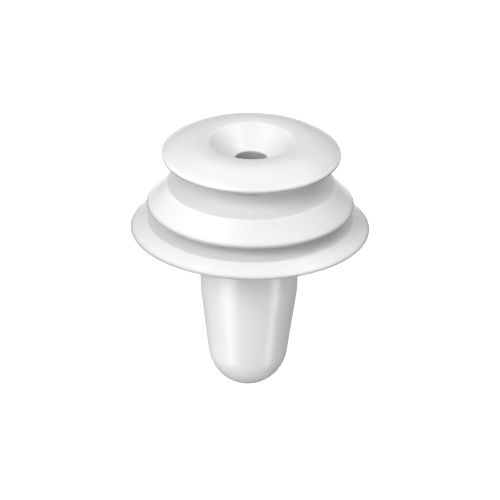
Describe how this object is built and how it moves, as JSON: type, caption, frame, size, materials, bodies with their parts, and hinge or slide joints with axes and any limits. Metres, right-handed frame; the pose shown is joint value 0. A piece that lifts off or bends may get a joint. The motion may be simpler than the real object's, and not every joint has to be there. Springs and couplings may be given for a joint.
{
  "type": "wall anchor",
  "caption": "Push-in wall anchor: a countersunk button head on a split stud, two flared skirts and a closed bullet-nosed plug that seals a round hole.",
  "frame": {"origin": "on the anchor's axis, in the plane of the wall's face, where the plug's land meets its collar", "axes": "+Z along the axis out of the wall, towards the domed head; the anchor is round about Z, and X and Y run along the slots between the fingers"},
  "size_m": [0.02, 0.02, 0.0223],
  "materials": {
    "nylon": "moulded nylon, natural white, satin",
    "elastomer": "soft thermoplastic elastomer, off-white, matt"
  },
  "bodies": {
    "plug_half": {"plug": "nylon", "seal_skirt": "elastomer"},
    "skirt_ring": {"tension_skirt": "elastomer"},
    "stud_half": {"stud": "nylon"},
    "finger_back_right": {"finger_back_right": "nylon"},
    "finger_back_left": {"finger_back_left": "nylon"},
    "finger_front_left": {"finger_front_left": "nylon"},
    "finger_front_right": {"finger_front_right": "nylon"}
  },
  "joints": [
    {"name": "stud_pull", "type": "slide", "parent": "plug_half", "child": "skirt_ring", "axis": [0, 0, 1], "range_m": [0, 0.0125]},
    {"name": "stud_spin", "type": "hinge", "parent": "skirt_ring", "child": "stud_half", "pos_m": [0, 0, 0.0039], "axis": [0, 0, 1], "continuous": true},
    {"name": "finger_back_right_spread", "type": "hinge", "parent": "stud_half", "child": "finger_back_right", "pos_m": [0.00129, 0.00129, -0.00293], "axis": [0.7071, -0.7071, 0], "range_deg": [0, 3.5], "stiffness_Nm_per_rad": 0.002},
    {"name": "finger_back_left_spread", "type": "hinge", "parent": "stud_half", "child": "finger_back_left", "pos_m": [-0.00129, 0.00129, -0.00293], "axis": [0.7071, 0.7071, 0], "range_deg": [0, 3.5], "stiffness_Nm_per_rad": 0.002},
    {"name": "finger_front_left_spread", "type": "hinge", "parent": "stud_half", "child": "finger_front_left", "pos_m": [-0.00129, -0.00129, -0.00293], "axis": [-0.7071, 0.7071, 0], "range_deg": [0, 3.5], "stiffness_Nm_per_rad": 0.002},
    {"name": "finger_front_right_spread", "type": "hinge", "parent": "stud_half", "child": "finger_front_right", "pos_m": [0.00129, -0.00129, -0.00293], "axis": [-0.7071, -0.7071, 0], "range_deg": [0, 3.5], "stiffness_Nm_per_rad": 0.002}
  ],
  "couplings": [
    {"joint": "finger_back_left_spread", "follows": "finger_back_right_spread", "ratio": 1},
    {"joint": "finger_front_left_spread", "follows": "finger_back_right_spread", "ratio": 1},
    {"joint": "finger_front_right_spread", "follows": "finger_back_right_spread", "ratio": 1}
  ]
}
